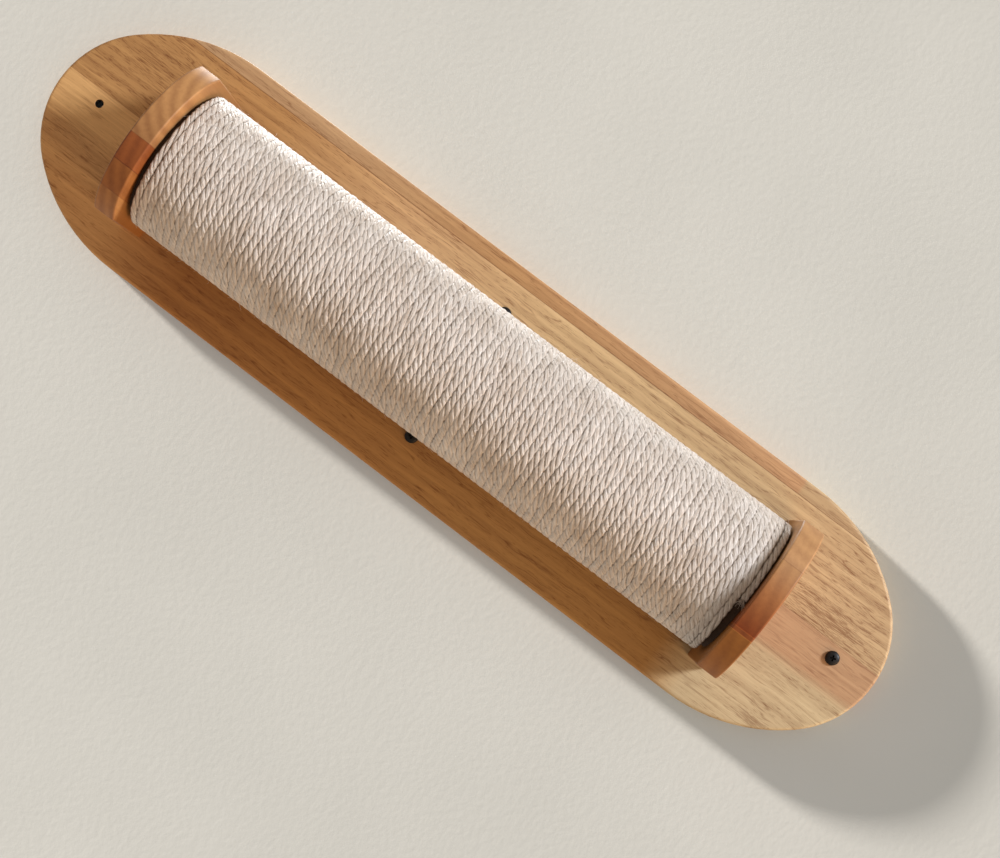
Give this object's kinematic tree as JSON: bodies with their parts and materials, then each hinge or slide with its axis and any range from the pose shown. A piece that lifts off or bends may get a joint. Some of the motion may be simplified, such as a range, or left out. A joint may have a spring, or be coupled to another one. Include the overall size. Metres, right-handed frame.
{
  "type": "wall-mounted cat scratching post",
  "caption": "Rope-wound scratching post held between arched wooden brackets on a round-ended wooden board that screws flat to a wall, for a cat to claw.",
  "frame": {"origin": "middle of the board's back face, which lies on the wall", "axes": "+Z along the post towards the end with the empty screw hole, +Y into the wall, +X along the board's width to the right when it is seen from the room"},
  "size_m": [0.15, 0.1407, 0.6058],
  "materials": {
    "board_wood": "sanded edge-glued hardwood staves under a thin clear oil",
    "bracket_wood": "sanded laminated hardwood under a thin clear oil",
    "tube_card": "spiral-wound grey-brown card",
    "plug_wood": "raw sawn softwood",
    "nail_steel": "bright drawn steel",
    "sisal": "bleached three-strand sisal rope",
    "black_screw": "black-oxide steel",
    "plated_screw": "zinc-plated steel"
  },
  "bodies": {
    "root": {"base_board": "board_wood", "upper_bracket": "bracket_wood", "lower_bracket": "bracket_wood", "core_tube": "tube_card", "upper_core_plug": "plug_wood", "lower_core_plug": "plug_wood", "upper_plug_nails": "nail_steel", "lower_plug_nails": "nail_steel", "sisal_rope": "sisal", "mid_wall_screws": "black_screw", "lower_wall_screw": "black_screw", "upper_bracket_screws": "plated_screw", "lower_bracket_screws": "plated_screw", "upper_post_screws": "plated_screw", "lower_post_screws": "plated_screw"}
  },
  "joints": []
}
